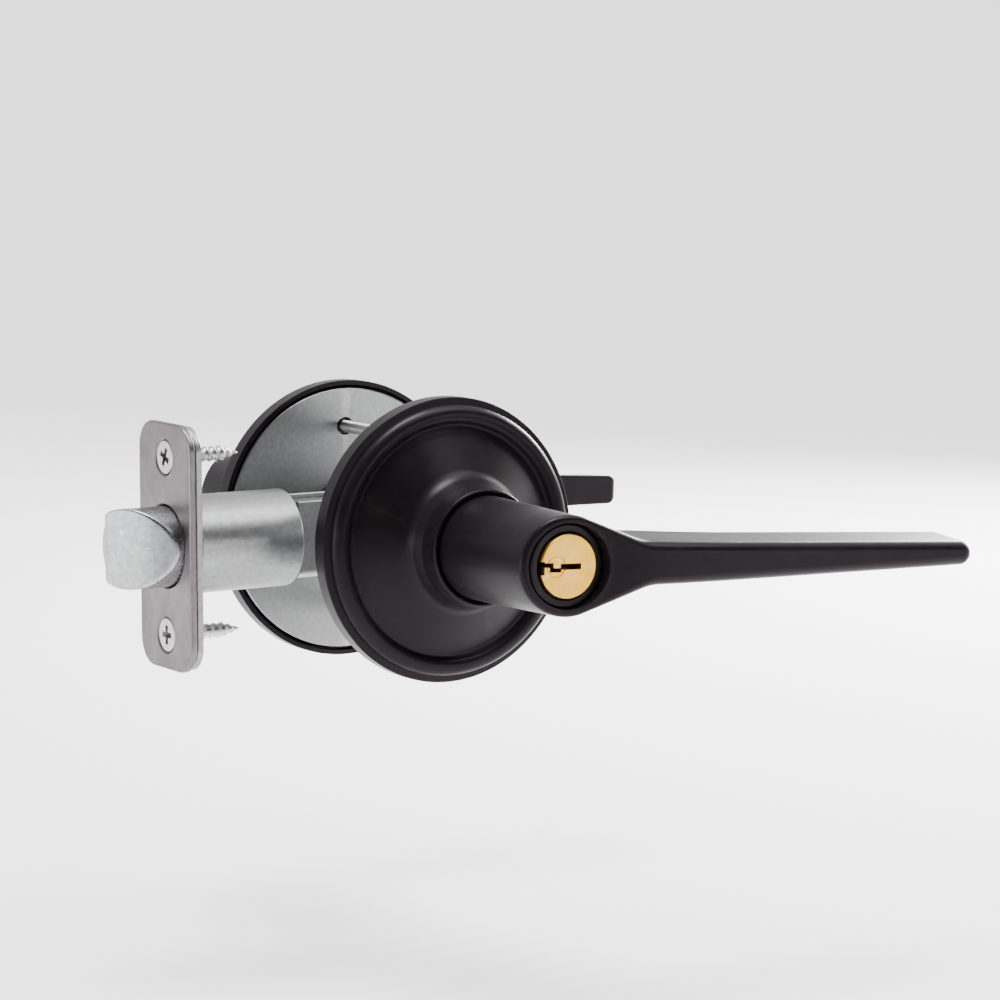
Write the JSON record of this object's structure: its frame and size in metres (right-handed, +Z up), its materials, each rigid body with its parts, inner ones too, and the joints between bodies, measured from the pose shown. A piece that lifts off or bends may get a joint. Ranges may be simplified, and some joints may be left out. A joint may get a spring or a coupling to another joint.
{
  "type": "lever handle lockset",
  "caption": "Keyed lever lockset: round stepped roses, slim tapering levers, a key cylinder outside, a turn button inside and a spring latch with a rounded faceplate.",
  "frame": {"origin": "on the spindle axis, in the plane of the door's outside face", "axes": "+X from the door's edge towards the lever tips, -Y outward from the outside of the door, +Z up; the spindle turns about Y"},
  "size_m": [0.1823, 0.1664, 0.0666],
  "materials": {
    "satin_black": "satin black over die-cast metal",
    "brass_plug": "satin brass",
    "nickel_bolt": "tumbled satin nickel",
    "nickel_screw": "nickel plate",
    "pewter_plate": "pewter plate",
    "zinc_steel": "zinc-plated steel"
  },
  "bodies": {
    "root": {"outside_rose": "satin_black", "inside_rose": "satin_black", "outside_mounting_plate": "zinc_steel", "inside_mounting_plate": "zinc_steel", "outside_return_spring": "zinc_steel", "inside_return_spring": "zinc_steel", "latch_faceplate": "pewter_plate", "latch_back_plate": "zinc_steel", "faceplate_screw_upper": "nickel_screw", "faceplate_screw_lower": "nickel_screw", "latch_tube": "zinc_steel", "latch_case": "zinc_steel", "spring_seat": "zinc_steel", "bolt_spring": "zinc_steel", "plunger_spring": "zinc_steel", "mounting_post_upper": "zinc_steel", "mounting_post_lower": "zinc_steel", "through_screw_upper": "zinc_steel", "through_screw_lower": "zinc_steel"},
    "outside_lever": {"outside_lever": "satin_black", "outside_lever_catch": "zinc_steel", "outside_spindle_tube": "zinc_steel", "outside_spindle_end": "zinc_steel", "outside_driver_washer": "zinc_steel", "outside_retainer_ring": "zinc_steel", "cylinder_housing": "satin_black", "drive_bar": "zinc_steel", "driver_pin_1": "brass_plug", "driver_pin_2": "brass_plug", "driver_pin_3": "brass_plug", "driver_pin_4": "brass_plug", "driver_pin_5": "brass_plug"},
    "key_plug": {"key_plug": "brass_plug", "plug_clip": "zinc_steel", "tailpiece": "zinc_steel", "key_pin_1": "brass_plug", "key_pin_2": "brass_plug", "key_pin_3": "brass_plug", "key_pin_4": "brass_plug", "key_pin_5": "brass_plug"},
    "inside_lever": {"inside_lever": "satin_black", "inside_lever_catch": "zinc_steel", "inside_spindle_tube": "zinc_steel", "inside_spindle_end": "zinc_steel", "inside_driver_washer": "zinc_steel", "inside_retainer_ring": "zinc_steel", "button_cap": "satin_black", "button_housing": "zinc_steel"},
    "turn_button": {"turn_button": "satin_black", "lock_bar": "zinc_steel"},
    "retractor_cam": {"retractor_cam": "zinc_steel"},
    "latch_bolt": {"latch_bolt": "nickel_bolt", "bolt_drawbar": "zinc_steel"},
    "deadlatch_plunger": {"deadlatch_plunger": "nickel_bolt"}
  },
  "joints": [
    {"name": "outside_lever_turn", "type": "hinge", "parent": "root", "child": "outside_lever", "pos_m": [0, 0, 0], "axis": [0, 1, 0], "range_deg": [0, 60], "stiffness_Nm_per_rad": 0.6, "springref_deg": -34.38},
    {"name": "inside_lever_turn", "type": "hinge", "parent": "root", "child": "inside_lever", "pos_m": [0, 0.04445, 0], "axis": [0, 1, 0], "range_deg": [0, 60]},
    {"name": "key_turn", "type": "hinge", "parent": "outside_lever", "child": "key_plug", "pos_m": [0, -0.05, 0], "axis": [0, 1, 0], "range_deg": [0, 90]},
    {"name": "button_turn", "type": "hinge", "parent": "inside_lever", "child": "turn_button", "pos_m": [0, 0.1, 0], "axis": [0, 1, 0], "range_deg": [0, 90]},
    {"name": "cam_turn", "type": "hinge", "parent": "root", "child": "retractor_cam", "pos_m": [0, 0.02223, 0], "axis": [0, 1, 0], "range_deg": [0, 60]},
    {"name": "bolt_slide", "type": "slide", "parent": "root", "child": "latch_bolt", "axis": [1, 0, 0], "range_m": [0, 0.012], "deforming": ["bolt_spring"]},
    {"name": "plunger_slide", "type": "slide", "parent": "root", "child": "deadlatch_plunger", "axis": [1, 0, 0], "range_m": [0, 0.0112], "stiffness_N_per_m": 120, "springref_m": -0.004, "deforming": ["plunger_spring"]}
  ],
  "couplings": [
    {"joint": "inside_lever_turn", "follows": "outside_lever_turn", "ratio": 1},
    {"joint": "cam_turn", "follows": "outside_lever_turn", "ratio": 1},
    {"joint": "bolt_slide", "follows": "outside_lever_turn", "m_per_rad": 0.011459}
  ]
}
